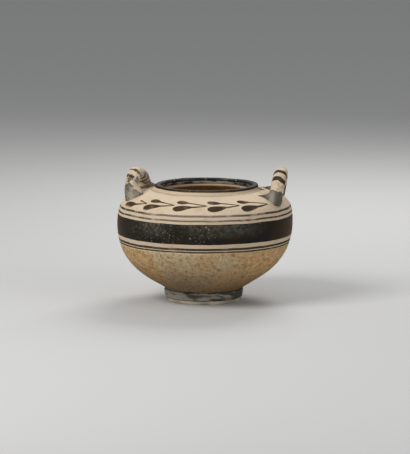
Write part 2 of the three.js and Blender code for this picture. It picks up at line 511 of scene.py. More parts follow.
def into_wall(points, wall):
    """A line moved into the wall by its thickness."""
    moved = []
    for index, point in enumerate(points):
        before = points[max(index - 1, 0)]
        after = points[min(index + 1, len(points) - 1)]
        along = (after - before).normalized()
        moved.append(point + Vector((-along.y, along.x)) * wall)
    return moved


def outside_profile(sizes):
    """From the middle of the underside, round the foot and up the wall to the outer edge of the lip."""
    recess = (Vector((0, RECESS_HEIGHT)), Vector((RECESS_RADIUS, RECESS_HEIGHT)))
    recess_turn = rounded(
        recess[1],
        Vector((REST_RING_INNER, RECESS_HEIGHT)),
        Vector((REST_RING_INNER, 0)),
    )
    foot = [
        Vector((REST_RING_INNER, 0)),
        Vector((REST_RING_OUTER, 0)),
        Vector((sizes.foot_radius, FOOT_EDGE)),
        Vector((sizes.foot_radius, STRIP_HEIGHT)),
        GROOVE,
        FOOT_WALL_BASE,
    ]
    foot_top = Vector((FOOT_TOP_RADIUS, FOOT_WALL_TOP))
    foot_turn = rounded(foot_top, Vector((FOOT_TOP_RADIUS, BELLY_ROOT.y)), BELLY_ROOT)
    lip = Vector((sizes.rim_radius, sizes.rim_top - LIP_ROUNDING))
    return chained(
        evenly(recess, INSIDE_SPACING),
        evenly(recess_turn, FOOT_SPACING),
        evenly(foot[:2], FOOT_SPACING),
        evenly(foot[1:], FOOT_SPACING),
        evenly([FOOT_WALL_BASE, foot_top], FOOT_SPACING),
        evenly(foot_turn, FOOT_SPACING),
        evenly(belly_curve(sizes), OUTSIDE_SPACING),
        evenly(shoulder_curve(sizes), OUTSIDE_SPACING),
        evenly([RIM_BASE, lip], RIM_SPACING),
        evenly(
            rounded(
                lip,
                Vector((sizes.rim_radius, sizes.rim_top)),
                Vector((sizes.rim_radius - LIP_ROUNDING, sizes.rim_top)),
            ),
            RIM_SPACING,
        ),
    )


def inside_profile(sizes):
    """From the outer edge of the lip, over it and down the neck and the wall to the middle of the floor."""
    mouth = sizes.mouth_radius
    lip = Vector((mouth + LIP_ROUNDING, sizes.rim_top))
    neck_top = Vector((mouth, sizes.rim_top - LIP_ROUNDING))
    neck_base = Vector((mouth, NECK_UNDERSIDE + NECK_ROUNDING))
    neck_turn = rounded(
        neck_base,
        Vector((mouth, NECK_UNDERSIDE)),
        Vector((mouth + NECK_ROUNDING, NECK_UNDERSIDE)),
    )
    wall = into_wall(belly_curve(sizes) + shoulder_curve(sizes)[1:], sizes.wall)
    wall.reverse()
    roof = [point for point in wall if point.x > neck_turn[-1].x or point.y < sizes.belly_height]
    floor_turn = Vector((roof[-1].x - FLOOR_TURN, FLOOR_HEIGHT))
    return chained(
        evenly([Vector((sizes.rim_radius - LIP_ROUNDING, sizes.rim_top)), lip], RIM_SPACING),
        evenly(rounded(lip, Vector((mouth, sizes.rim_top)), neck_top), RIM_SPACING),
        evenly([neck_top, neck_base], RIM_SPACING),
        evenly(neck_turn, RIM_SPACING),
        evenly([neck_turn[-1], *roof], INSIDE_SPACING),
        evenly(rounded(roof[-1], floor_turn, Vector((0, FLOOR_HEIGHT))), INSIDE_SPACING),
    )


def turned(name, profile, sides):
    """A profile of (radius, height) points, drawn as a chain from one point and spun round Z."""
    deselect_all()
    bpy.ops.mesh.primitive_plane_add(size=PATCH_SIZE)
    piece = bpy.context.active_object
    piece.name = name
    bpy.ops.object.mode_set(mode="EDIT")
    bpy.ops.mesh.merge(type="CENTER")
    bpy.ops.transform.translate(value=(profile[0].x, 0, profile[0].y))
    for before, after in zip(profile, profile[1:]):
        step = (after.x - before.x, 0, after.y - before.y)
        bpy.ops.mesh.extrude_vertices_move(TRANSFORM_OT_translate={"value": step})
    bpy.ops.object.mode_set(mode="OBJECT")
    apply_modifier(piece, "SCREW", "Wheel", axis="Z", steps=sides, render_steps=sides)
    bpy.ops.object.mode_set(mode="EDIT")
    bpy.ops.mesh.select_all(action="SELECT")
    bpy.ops.mesh.remove_doubles(threshold=MERGE_DISTANCE)
    bpy.ops.mesh.normals_make_consistent(inside=False)
    bpy.ops.object.mode_set(mode="OBJECT")
    return piece


def draw_off_axis(piece, sizes):
    """Leans the soft clay a little, as it was drawn up on the wheel."""
    for vertex in piece.data.vertices:
        rise = vertex.co.z / sizes.belly_height
        vertex.co.x += OFF_AXIS * (rise * rise - 1)


def roughen(piece, name, grain, depth, zone=""):
    """Moves the surface in and out by a cloudy pattern, all over or in one vertex group."""
    texture = bpy.data.textures.new(name, "CLOUDS")
    texture.noise_scale = grain
    texture.noise_depth = 1
    apply_modifier(
        piece,
        "DISPLACE",
        name,
        texture=texture,
        texture_coords="LOCAL",
        strength=depth,
        vertex_group=zone,
    )


def mark_heights(piece, name, low, high):
    """A vertex group of what lies between two heights."""
    group = piece.vertex_groups.new(name=name)
    group.add([v.index for v in piece.data.vertices if low < v.co.z < high], 1.0, "REPLACE")


def throw_body(sizes):
    """The wheel-thrown body with its foot and rim, hollow and open at the mouth."""
    body = turned("painted_vessel", outside_profile(sizes), WHEEL_SIDES)
    mark_heights(body, "bare_clay", BELLY_ROOT.y, BARE_CLAY_TOP * MM)
    inside = turned("vessel_inside", inside_profile(sizes), WHEEL_SIDES)
    return body, inside


def bent_coil(sizes, handle):
    """A round coil bent to an arch that stands along Y and leans towards +X."""
    half_span = sizes.handle_span / 2
    rise = handle["top"] - sizes.coil_along - HANDLE_ROOT
    deselect_all()
    bpy.ops.mesh.primitive_circle_add(
        vertices=COIL_SIDES,
        radius=sizes.coil_along,
        fill_type="NGON",
        location=(0, -half_span, 0),
    )
    coil = bpy.context.active_object
    coil.name = handle["name"]
    bpy.ops.object.transform_apply()
    bpy.ops.object.mode_set(mode="EDIT")
    bpy.ops.transform.resize(value=(sizes.coil_radial / sizes.coil_along, 1, 1))
    bpy.ops.mesh.spin(steps=ARCH_STEPS, angle=math.pi, center=(0, 0, 0), axis=(1, 0, 0))
    bpy.ops.mesh.select_all(action="SELECT")
    bpy.ops.mesh.remove_doubles(threshold=MERGE_DISTANCE)
    bpy.ops.mesh.normals_make_consistent(inside=False)
    bpy.ops.object.mode_set(mode="OBJECT")
    stretch = Matrix.Diagonal((1, 1, rise / half_span, 1))
    stretch[0][2] = handle["lean"] / half_span
    coil.data.transform(stretch)
    return coil


def drawn_toe(sizes, leg, heading, reach, height, crest, breadth):
    """A drop of clay round a leg's foot, drawn out along the shoulder, away from its heading."""
    top = Vector((height, TOE_TIP))
    heel = Vector((0, -TOE_HEEL))
    tip = Vector((TOE_TIP, reach))
    back = cubic(heel, Vector((height / 2, -TOE_HEEL)), Vector((height, -TOE_HEEL / 2)), top)
    waist = Vector((height / 4, reach * (crest + TOE_WAIST)))
    front = cubic(top, Vector((height, reach * crest)), waist, tip)
    outline = chained(
        evenly(back, TOE_SPACING),
        evenly(front, TOE_SPACING),
        [tip, Vector((0, reach + TOE_TIP))],
    )
    toe = turned("toe", outline, TOE_SIDES)
    end = leg.xy - Vector((math.cos(heading), math.sin(heading))) * reach
    foot_height = shoulder_height(sizes, leg.xy.length)
    slope = math.atan2(shoulder_height(sizes, end.length) - foot_height, reach)
    toe.data.transform(
        Matrix.Translation((leg.x, leg.y, foot_height))
        @ Matrix.Rotation(heading, 4, "Z")
        @ Matrix.Rotation(slope - math.pi / 2, 4, "Y")
        @ Matrix.Diagonal((1, breadth, 1, 1))
    )
    return toe


def trim_to_wall(piece, sizes, handle, leg_distance):
    """Cuts a handle off a little under the shoulder's surface, so that none of it shows inside."""
    reach = handle["back_toe"]["reach"]
    foot_height = shoulder_height(sizes, leg_distance)
    slope = (shoulder_height(sizes, leg_distance - reach) - foot_height) / reach
    outward = Matrix.Rotation(math.radians(handle["bearing"]), 3, "Z") @ Vector((1, 0, 0))
    pick(piece)
    bpy.ops.object.mode_set(mode="EDIT")
    bpy.ops.mesh.select_all(action="SELECT")
    bpy.ops.mesh.bisect(
        plane_co=outward * handle["radius"] + Vector((0, 0, foot_height - LUTING_DEPTH)),
        plane_no=outward * slope + Vector((0, 0, 1)),
        use_fill=True,
        clear_inner=True,
    )
    bpy.ops.object.mode_set(mode="OBJECT")


def roll_handle(sizes, handle):
    """One upright loop handle with its two toes, in place on the shoulder."""
    half_span = sizes.handle_span / 2
    bearing = math.radians(handle["bearing"])
    twist = math.radians(handle["twist"])
    place = (
        Matrix.Rotation(bearing, 4, "Z")
        @ Matrix.Translation((handle["radius"], 0, HANDLE_ROOT))
        @ Matrix.Rotation(twist, 4, "Z")
    )
    coil = bent_coil(sizes, handle)
    coil.data.transform(place)
    legs = [place @ Vector((0, along, 0)) for along in (-half_span, half_span)]
    toes = []
    for leg, splay in zip(legs, (TOE_SPLAY, -TOE_SPLAY)):
        shape = handle["front_toe"] if leg.y < 0 else handle["back_toe"]
        toes.append(drawn_toe(sizes, leg, bearing + twist + math.radians(splay), **shape))
    pick(coil, *toes)
    bpy.ops.object.join()
    apply_modifier(coil, "REMESH", "Knead", mode="VOXEL", voxel_size=HANDLE_GRAIN)
    apply_modifier(coil, "SMOOTH", "Wipe", factor=WIPING_PRESSURE, iterations=WIPING)
    roughen(coil, "finger_marks", FINGER_GRAIN, FINGER_DEPTH)
    trim_to_wall(coil, sizes, handle, sum(leg.xy.length for leg in legs) / 2)
    return coil


def lute(body, handle):
    """Joins a handle to the body as one piece of clay."""
    apply_modifier(
        body,
        "BOOLEAN",
        "Lute",
        operation="UNION",
        object=handle,
        solver="EXACT",
        material_mode="TRANSFER",
    )
    bpy.data.objects.remove(handle)


def edit_points(piece, chosen):
    """Goes into edit mode with these points selected."""
    pick(piece)
    bpy.ops.object.mode_set(mode="EDIT")
    bpy.ops.mesh.select_mode(type="VERT")
    bpy.ops.mesh.select_all(action="DESELECT")
    bpy.ops.object.mode_set(mode="OBJECT")
    for index in chosen:
        piece.data.vertices[index].select = True
    bpy.ops.object.mode_set(mode="EDIT")


def drop_idle_points(body):
    """Dissolves the points that only two edges meet at, which would leave flaps at the joints."""
    meetings = [0] * len(body.data.vertices)
    for edge in body.data.edges:
        for index in edge.vertices:
            meetings[index] += 1
    edit_points(body, [index for index, count in enumerate(meetings) if count == 2])
    bpy.ops.mesh.dissolve_verts()
    bpy.ops.object.mode_set(mode="OBJECT")


def smooth_joints(body, first_handle_material):
    """Wipes over the line where each handle meets the shoulder."""
    on_handle = set()
    on_body = set()
    for face in body.data.polygons:
        side = on_handle if face.material_index >= first_handle_material else on_body
        side.update(face.vertices)
    edit_points(body, on_handle & on_body)
    for _ in range(JOINT_RINGS):
        bpy.ops.mesh.select_more()
    bpy.ops.mesh.vertices_smooth(factor=WIPING_PRESSURE, repeat=JOINT_WIPING)
    bpy.ops.object.mode_set(mode="OBJECT")


class Paintbox:
    """Adds the nodes of one material and joins them to each other."""

    def __init__(self, name):
        self.material = bpy.data.materials.new(name)
        self.material.use_nodes = True
        self.tree = self.material.node_tree
        self.shader = self.tree.nodes["Principled BSDF"]

    def feed(self, socket, value):
        if isinstance(value, bpy.types.NodeSocket):
            self.tree.links.new(value, socket)
        else:
            socket.default_value = value

    def node(self, kind, feeds=(), **settings):
        made = self.tree.nodes.new(kind)
        for key, value in settings.items():
            setattr(made, key, value)
        for key, value in dict(feeds).items():
            self.feed(made.inputs[key], value)
        return made

    def math(self, operation, *values, clamp=False):
        settings = {"operation": operation, "use_clamp": clamp}
        return self.node("ShaderNodeMath", enumerate(values), **settings).outputs[0]

    def fade(self, value, low, high):
        """0 at low, 1 at high and smooth between them. High may be the smaller one."""
        feeds = {"Value": value, "From Min": low, "From Max": high}
        return self.node("ShaderNodeMapRange", feeds, interpolation_type="SMOOTHSTEP").outputs["Result"]

    def mix(self, share, under, over):
        made = self.node("ShaderNodeMix", {0: share}, data_type="RGBA")
        for socket, value in ((made.inputs[6], under), (made.inputs[7], over)):
            self.feed(socket, value if isinstance(value, bpy.types.NodeSocket) else (*value, 1.0))
        return made.outputs[2]

    def wash(self, under, over, value, low, high, share=1.0):
        """One colour over another: none of it where the value is low, this share of it where it is high."""
        amount = self.fade(value, low, high)
        if share != 1.0:
            amount = self.math("MULTIPLY", amount, share)
        return self.mix(amount, under, over)

    def worn(self, shape, rubbed, strength, loss):
        """A painted shape at its strength, less what is lost where it is rubbed."""
        return self.math("MULTIPLY", shape, self.math("MULTIPLY_ADD", rubbed, -loss, strength))

    def blend(self, share, under, over):
        """The same for plain numbers."""
        return self.node("ShaderNodeMix", {0: share, 2: under, 3: over}, data_type="FLOAT").outputs[0]

    def noise(self, place, scale, detail=2.0, roughness=0.5):
        feeds = {"Vector": place, "Scale": scale, "Detail": detail, "Roughness": roughness}
        return self.node("ShaderNodeTexNoise", feeds).outputs["Fac"]

    def spans(self, value, pairs):
        """1 where a value lies in one of the spans, 0 elsewhere."""
        total = None
        for low, high in pairs:
            hit = self.math("COMPARE", value, (low + high) / 2, (high - low) / 2)
            total = hit if total is None else self.math("ADD", total, hit, clamp=True)
        return total

    def most(self, *values):
        total = values[0]
        for value in values[1:]:
            total = self.math("MAXIMUM", total, value)
        return total

    def stretched(self, place, scale):
        """A place drawn out differently along each axis, for streaks."""
        return self.node("ShaderNodeMapping", {"Vector": place, "Scale": scale}).outputs[0]


class ClayPlace:
    """Where a point of the vessel lies, in millimetres, with the lean of the clay taken off."""

    def __init__(self, box, sizes):
        coordinates = box.node("ShaderNodeTexCoord").outputs["Object"]
        scaled = box.node("ShaderNodeVectorMath", {0: coordinates, "Scale": 1 / MM}, operation="SCALE")
        self.point = scaled.outputs[0]
        self.x, self.y, self.height = box.node("ShaderNodeSeparateXYZ", {0: self.point}).outputs
        rise = box.math("DIVIDE", self.height, sizes.belly_height / MM)
        lean = box.math("MULTIPLY_ADD", box.math("MULTIPLY", rise, rise), OFF_AXIS / MM, -OFF_AXIS / MM)
        self.across = box.math("SUBTRACT", self.x, lean)
        square = box.math("MULTIPLY", self.y, self.y)
        self.radius = box.math("SQRT", box.math("MULTIPLY_ADD", self.across, self.across, square))
        # Degrees from the middle of the front, and the same on the back as if it were turned to the front
        side = box.math("ARCTANGENT", box.math("DIVIDE", box.math("MULTIPLY", self.across, -1.0), self.y))
        self.turn = box.math("DEGREES", side)


def leaf(box, along, across, middle, half_width, blade):
    """One painted leaf: a round end at along = 0, a blade, and a stalk to the stem at along = 1."""
    bend = box.math("POWER", along, LEAF_BEND)
    line = box.math("MULTIPLY_ADD", bend, -middle, middle)
    share = box.math("DIVIDE", along, blade, clamp=True)
    swell = box.math("POWER", box.math("DIVIDE", share, LEAF_FULLEST), LEAF_ROUNDNESS)
    taper = box.math("DIVIDE", box.math("SUBTRACT", 1.0, share), 1 - LEAF_FULLEST)
    taper = box.math("POWER", taper, LEAF_ROUNDNESS * (1 - LEAF_FULLEST) / LEAF_FULLEST)
    body = box.math("MULTIPLY", box.math("MULTIPLY", swell, taper), half_width)
    stalk = box.math("MULTIPLY_ADD", along, -LEAF_STALK_TAPER, LEAF_STALK + LEAF_STALK_TAPER)
    half = box.most(body, box.math("MULTIPLY", stalk, box.math("MINIMUM", swell, 1.0)))
    off = box.math("ABSOLUTE", box.math("SUBTRACT", across, line))
    return box.fade(box.math("SUBTRACT", half, off), -LEAF_EDGE, LEAF_EDGE)


def branch(box, place, wobble):
    """The row of leaf pairs on the shoulder, the same on the front and on the back."""
    turn = box.math("ADD", place.turn, wobble)
    count = box.math("DIVIDE", box.math("SUBTRACT", turn, LEAF_START), LEAF_SPACING)
    along = box.math("FRACT", count)
    in_row = box.spans(count, ((ROW_START, LEAF_PAIRS),))
    droop = box.math("MULTIPLY", box.math("MULTIPLY", turn, turn), STEM_DROOP)
    stem = box.math("ADD", droop, STEM_RADIUS)
    across = box.math("SUBTRACT", box.math("MULTIPLY_ADD", wobble, STEM_SWAY, place.radius), stem)
    outer = leaf(box, along, across, **OUTER_LEAF)
    inner = leaf(box, along, across, **INNER_LEAF)
    inner = box.math("MULTIPLY", inner, box.spans(count, ((FIRST_INNER_STALK, LEAF_PAIRS),)))
    on_shoulder = box.fade(place.height, *BRANCH_FOOT)
    return box.math("MULTIPLY", box.math("MULTIPLY", box.most(outer, inner), in_row), on_shoulder)


def finish_surface(box, colour, roughness, relief, depth, shine):
    """Joins a colour, a roughness and a fine relief to the shader, and sets how much it mirrors."""
    bump = box.node("ShaderNodeBump", {"Height": relief, "Strength": 1.0, "Distance": depth})
    box.feed(box.shader.inputs["Base Color"], colour)
    box.feed(box.shader.inputs["Roughness"], roughness)
    box.feed(box.shader.inputs["Specular IOR Level"], shine)
    box.feed(box.shader.inputs["Normal"], bump.outputs[0])
    return box.material


def bare_clay(box, colours, place, patches, crumbs, grain):
    """The rough clay of the lower belly, with rusty patches and pits, and painted shade darkening it
    towards the foot.
    """
    aside = box.math("ABSOLUTE", box.math("ADD", place.x, RUST_FREE_SIDE))
    rusty = box.math("MULTIPLY_ADD", aside, RUST_ASIDE, patches)
    rusty = box.math("MULTIPLY_ADD", place.height, RUST_UPWARDS, rusty)
    bare = box.wash(colours.tan, colours.rust, rusty, *RUST)
    bare = box.wash(bare, colours.cream, crumbs, *PALE_CRUMBS)
    bare = box.wash(bare, colours.pits_and_shade, crumbs, *DARK_CRUMBS)
    bare = box.wash(bare, colours.pits_and_shade, grain, *DARK_GRAIN)
    # Painted shade: darker towards the foot, in the colour of the pits
    low_shade = box.math("MULTIPLY_ADD", box.math("SUBTRACT", patches, NOISE_MIDDLE), LOW_SHADE_SWAY, place.height)
    return box.wash(bare, colours.pits_and_shade, low_shade, *LOW_SHADE)


def band_paint(box, colours, place, lip, mottle, patches, crumbs):
    """Black with a painted grey sheen of light on the upper front and back, and brown on the lip and round
    the sides.
    """
    around = box.math("ABSOLUTE", place.turn)
    # Painted sheen: the upper part of the band on the front and back is lighter grey, as if light glanced
    # off it
    sheen = box.math("MULTIPLY", box.fade(around, *SHEEN_SIDES), box.fade(place.height, *SHEEN_HEIGHTS))
    sheen = box.math("MULTIPLY", sheen, box.fade(patches, *SHEEN_PATCHES))
    specks = box.math("MULTIPLY_ADD", box.fade(crumbs, *SHEEN_SPECKS), SHEEN_SPECK_SHARE, SHEEN_EVEN_SHARE)
    ink = box.mix(box.math("MULTIPLY", sheen, specks), colours.black, colours.grey)
    ink = box.wash(ink, colours.brown, mottle, *THIN_BAND)
    browned = box.most(box.math("MULTIPLY", lip, LIP_BROWN), box.fade(around, *BROWN_SIDES))
    return box.mix(box.math("MULTIPLY", browned, BROWN_SHARE), ink, colours.brown)


def line_paint(box, colours, place, upper_lines, mottle, rubbed):
    """Black and thin brown, with the upper lines paler where hands have held the vessel."""
    handled = box.fade(box.math("ABSOLUTE", place.turn), *HANDLED)
    handled = box.math("MULTIPLY", handled, HANDLED_SHARE)
    fading = box.math("ADD", handled, box.math("MULTIPLY", rubbed, FADING_SHARE))
    ink = box.wash(colours.black, colours.brown, mottle, *THIN_LINES)
    return box.mix(box.math("MULTIPLY", fading, upper_lines), ink, colours.faded_paint_and_shade)


def chipped_places(box, place):
    """Small chips, most of them on the left of the front and the back."""
    flecks = box.fade(box.noise(place.point, *FLECKS), *FLECKED)
    from_left = box.fade(place.turn, *KNOCKED_FROM_LEFT)
    from_right = box.fade(place.turn, *KNOCKED_FROM_RIGHT)
    elsewhere = box.fade(box.noise(place.point, *KNOCKS), *KNOCKED_ELSEWHERE)
    knocked = box.math("MULTIPLY", from_left, from_right)
    knocked = box.math("MULTIPLY_ADD", knocked, KNOCKED_FRONT_SHARE, elsewhere)
    return box.math("MULTIPLY", flecks, box.math("MINIMUM", knocked, 1.0))


def paint_outside(sizes, colours):
    """Cream slip over rough clay, with the bands, lines and branch painted on it."""
    box = Paintbox("painted_clay")
    place = ClayPlace(box, sizes)
    sway = box.math("SUBTRACT", box.noise(place.point, *WHEEL_SWAY), NOISE_MIDDLE)
    height = box.math("MULTIPLY_ADD", sway, HEIGHT_SWAY, place.height)
    mottle = box.noise(place.point, *MOTTLE)
    grain = box.noise(place.point, *GRAIN)
    patches = box.noise(place.point, *PATCHES)
    crumbs = box.noise(place.point, *CRUMBS)
    rubbed = box.fade(box.noise(place.point, *RUBBING), *RUBBED)

    slip = box.wash(colours.cream, colours.soiled, mottle, *SOILED_SLIP)
    # Painted shade: the upright wall below the shoulder is darkened a little, as it takes less light than
    # the shoulder
    wall_shade = box.math("MULTIPLY", box.spans(place.height, (SHADED_WALL_HEIGHTS,)), WALL_SHADE_SHARE)
    slip = box.mix(wall_shade, slip, colours.faded_paint_and_shade)
    slip = box.wash(slip, colours.soiled, crumbs, *SOIL_SPECKS)
    bare = bare_clay(box, colours, place, patches, crumbs, grain)
    colour = box.wash(bare, slip, height, BARE_CLAY_TOP - SLIP_EDGE, BARE_CLAY_TOP + SLIP_EDGE)

    lower_lines = box.spans(height, LOWER_LINES)
    upper_lines = box.spans(height, UPPER_LINES)
    band = box.spans(height, (BODY_BAND,))
    lip = box.fade(height, LIP_PAINT_HEIGHT - LINE_EDGE, LIP_PAINT_HEIGHT + LINE_EDGE)
    rim_line = box.spans(place.radius, (RIM_LINE,))
    rim_line = box.math("MULTIPLY", rim_line, box.fade(place.height, *RIM_SIDE))
    leaves = branch(box, place, box.math("MULTIPLY", sway, ROW_SWAY))
    thin = box.most(
        box.worn(lower_lines, rubbed, *LOWER_LINE_STRENGTH),
        box.worn(upper_lines, rubbed, *UPPER_LINE_STRENGTH),
        box.worn(leaves, rubbed, *LEAF_STRENGTH),
    )
    thick = box.most(band, lip)

    colour = box.mix(box.worn(rim_line, rubbed, *RIM_LINE_STRENGTH), colour, colours.faded_paint_and_shade)
    feeds = {0: place.point, 1: RIM_SMUDGE}
    spot = box.node("ShaderNodeVectorMath", feeds, operation="DISTANCE").outputs["Value"]
    spot = box.math("MULTIPLY_ADD", crumbs, SMUDGE_SWAY, spot)
    colour = box.wash(colour, colours.brown, spot, *SMUDGE)
    colour = box.mix(thin, colour, line_paint(box, colours, place, upper_lines, mottle, rubbed))
    colour = box.mix(thick, colour, band_paint(box, colours, place, lip, mottle, patches, crumbs))
    chips = box.math("MULTIPLY", chipped_places(box, place), CHIP_SHARE)
    chips = box.math("MULTIPLY", box.most(thick, lower_lines), chips)
    colour = box.mix(chips, colour, colours.chalk)

    foot = box.spans(place.height, (FOOT_PAINT,))
    streaks = box.noise(box.stretched(place.point, FOOT_STRETCH), *STREAKS)
    # Painted light: the film on the foot is paler towards -X, where the key lamp shines
    streaks = box.math("MULTIPLY_ADD", place.x, FOOT_PAINTED_LIGHT, streaks)
    colour = box.mix(foot, colour, box.wash(colours.grey, colours.chalk, streaks, *FOOT_FILM))
    strip = box.wash(colours.cream, colours.chalk, mottle, *STRIP_FILM)
    paint_foot = FOOT_PAINT[0]
    colour = box.wash(colour, strip, place.height, paint_foot + STRIP_EDGE, paint_foot - STRIP_EDGE)

    gloss = box.most(band, box.math("MULTIPLY", foot, FOOT_GLOSS))
    roughness = box.blend(gloss, CLAY_ROUGHNESS, BAND_ROUGHNESS)
    bare_share = box.fade(place.height, BARE_CLAY_TOP + BARE_EDGE, BARE_CLAY_TOP - BARE_EDGE)
    relief = box.math("MULTIPLY_ADD", bare_share, BARE_RELIEF, SLIP_RELIEF)
    relief = box.math("MULTIPLY", box.math("MULTIPLY_ADD", crumbs, CRUMB_RELIEF, grain), relief)
    return finish_surface(box, colour, roughness, relief, CLAY_RELIEF_DEPTH, PAINT_SHINE)


def paint_inside(sizes, colours):
    """A black lip and collar, a plain strip under it and a brown wash below."""
    box = Paintbox("inside_wash")
    place = ClayPlace(box, sizes)
    sway = box.math("SUBTRACT", box.noise(place.point, *INSIDE_SWAY), NOISE_MIDDLE)
    height = box.math("MULTIPLY_ADD", sway, INSIDE_HEIGHT_SWAY, place.height)
    mottle = box.noise(place.point, *INSIDE_MOTTLE)
    collar = box.fade(height, COLLAR_WORN - LINE_EDGE, COLLAR_WORN + LINE_EDGE)
    colour = box.wash(colours.inside, colours.pits_and_shade, mottle, *PITTED_WASH)
    strip = box.wash(colours.soiled, colours.tan, mottle, *TANNED_STRIP)
    colour = box.mix(box.spans(height, (COLLAR_STRIP,)), colour, strip)
    colour = box.mix(box.spans(height, (COLLAR_LINE,)), colour, colours.brown)
    rubbed = box.fade(box.noise(box.stretched(place.point, COLLAR_STRETCH), *STREAKS), *COLLAR_RUBBED)
    lower_part = box.fade(height, COLLAR_BLACK + COLLAR_EDGE, COLLAR_BLACK - COLLAR_EDGE)
    black = box.wash(colours.black, colours.grey, mottle, *GREY_COLLAR)
    black = box.mix(box.math("MULTIPLY", lower_part, rubbed), black, colours.faded_paint_and_shade)
    colour = box.mix(collar, colour, black)
    # Cream flecks round the top of the collar: chips in the black paint, and painted glints of light on the
    # glossy lip
    nicks_and_glints = box.fade(box.noise(place.point, *NICK_AND_GLINT_NOISE), *NICK_AND_GLINT_EDGES)
    nicks_and_glints = box.math("MULTIPLY", nicks_and_glints, box.fade(height, *NICK_AND_GLINT_HEIGHTS))
    colour = box.mix(box.math("MULTIPLY", nicks_and_glints, NICK_AND_GLINT_SHARE), colour, colours.cream)
    under_lip = box.fade(place.height, LIP_TOP_HEIGHT, LIP_TOP_HEIGHT - LIP_TOP_EDGE)
    roughness = box.blend(box.math("MULTIPLY", collar, under_lip), WASH_ROUGHNESS, COLLAR_ROUGHNESS)
    relief = box.noise(place.point, *INSIDE_RELIEF)
    return finish_surface(box, colour, roughness, relief, SLIP_RELIEF_DEPTH, COLLAR_SHINE)


def handle_place(box, place, handle):
    """Millimetres outwards, along and up from the middle of a handle's root."""
    bearing = math.radians(handle["bearing"])
    middle = Vector((handle["radius"] * math.cos(bearing), 0, HANDLE_ROOT)) / MM
    turn = (0, 0, bearing + math.radians(handle["twist"]))
    feeds = {"Vector": place.point, "Location": middle, "Rotation": turn}
    standing = box.node("ShaderNodeMapping", feeds, vector_type="TEXTURE").outputs[0]
    return box.node("ShaderNodeSeparateXYZ", {0: standing}).outputs


def leg_paint(box, colours, outward, along, legs, mottle, ink, wear):
    """Grey with a pale streak down the middle, a painted highlight that is stronger on the leg's outer
    side, where it is also rubbed, with a chalky film, and darker on the toes.
    """
    pairs = zip(colours.grey, colours.chalk)
    film = tuple(grey + (chalk - grey) * LEG_FILM_WORN * wear for grey, chalk in pairs)
    # Painted highlight: a pale streak down each round leg, stronger on its outer side, which is also rubbed
    off_streak = box.math("ABSOLUTE", box.math("ADD", outward, LEG_STREAK_PLACE))
    ridge = box.fade(box.math("ABSOLUTE", along), *LEG_RIDGE)
    streak = box.math("MULTIPLY_ADD", ridge, *LEG_STREAK_SHARES)
    streak = box.math("MULTIPLY", box.fade(off_streak, *LEG_STREAK), streak)
    filmed, whole, share = LEG_FILM
    filmed = box.math("MULTIPLY", box.fade(mottle, filmed, whole), share)
    leg = box.mix(box.most(streak, filmed), film, colours.chalk)
    toes = box.math("MULTIPLY", legs, box.fade(outward, *TOE_PAINT))
    leg = box.mix(box.math("MULTIPLY", toes, 1 - TOE_LOSS * wear), leg, ink)
    return box.wash(leg, colours.black, mottle, *LEG_MARKS, LEG_MARK_SHARE * wear)


def paint_handle(sizes, colours, handle):
    """Cream slip with black rings round the coil and black legs, rubbed away in places."""
    box = Paintbox(handle["name"] + "_paint")
    place = ClayPlace(box, sizes)
    wear = handle["wear"]
    outward, along, up = handle_place(box, place, handle)
    mottle = box.noise(place.point, *HANDLE_MOTTLE)
    sway = box.math("SUBTRACT", box.noise(place.point, *HANDLE_SWAY), NOISE_MIDDLE)
    climb = box.math("DEGREES", box.math("ARCTAN2", up, box.math("MULTIPLY", along, -1.0)))
    climb = box.math("MULTIPLY_ADD", sway, RING_SWAY + RING_SWAY_WORN * wear, climb)
    climb = box.math("MULTIPLY_ADD", outward, RING_SLANT, climb)
    rings = box.math("MULTIPLY", box.spans(climb, HANDLE_RINGS), box.fade(outward, *RING_ENDS))
    legs = box.spans(climb, HANDLE_LEGS)
    start, whole = (value + HANDLE_RUBBED_WORN * wear for value in HANDLE_RUBBED)
    rubbed = box.fade(box.noise(place.point, *HANDLE_RUBBING), start, whole)
    blotches = box.fade(box.noise(place.point, *HANDLE_BLOTCHES), *BLOTCHED)
    blotches = box.math("MULTIPLY", blotches, wear)

    slip = box.wash(colours.cream, colours.soiled, mottle, *HANDLE_SOIL)
    ink = box.wash(colours.brown, colours.black, mottle, *HANDLE_THIN)
    colour = box.mix(box.most(box.worn(rings, rubbed, *RING_STRENGTH), blotches), slip, ink)
    leg = leg_paint(box, colours, outward, along, legs, mottle, ink, wear)
    leg_strength, leg_loss = LEG_STRENGTH
    colour = box.mix(box.worn(legs, rubbed, leg_strength, leg_loss * wear), colour, leg)
    dirt = box.math("MULTIPLY", box.fade(outward, *INNER_DIRT), DIRT_SHARE * wear)
    dirt = box.math("MULTIPLY", dirt, box.fade(mottle, *DIRT_PATCHES))
    colour = box.mix(dirt, colour, colours.chalk)
    roughness = box.blend(legs, HANDLE_ROUGHNESS, LEG_ROUGHNESS)
    relief = box.noise(place.point, *HANDLE_RELIEF)
    return finish_surface(box, colour, roughness, relief, SLIP_RELIEF_DEPTH, PAINT_SHINE)


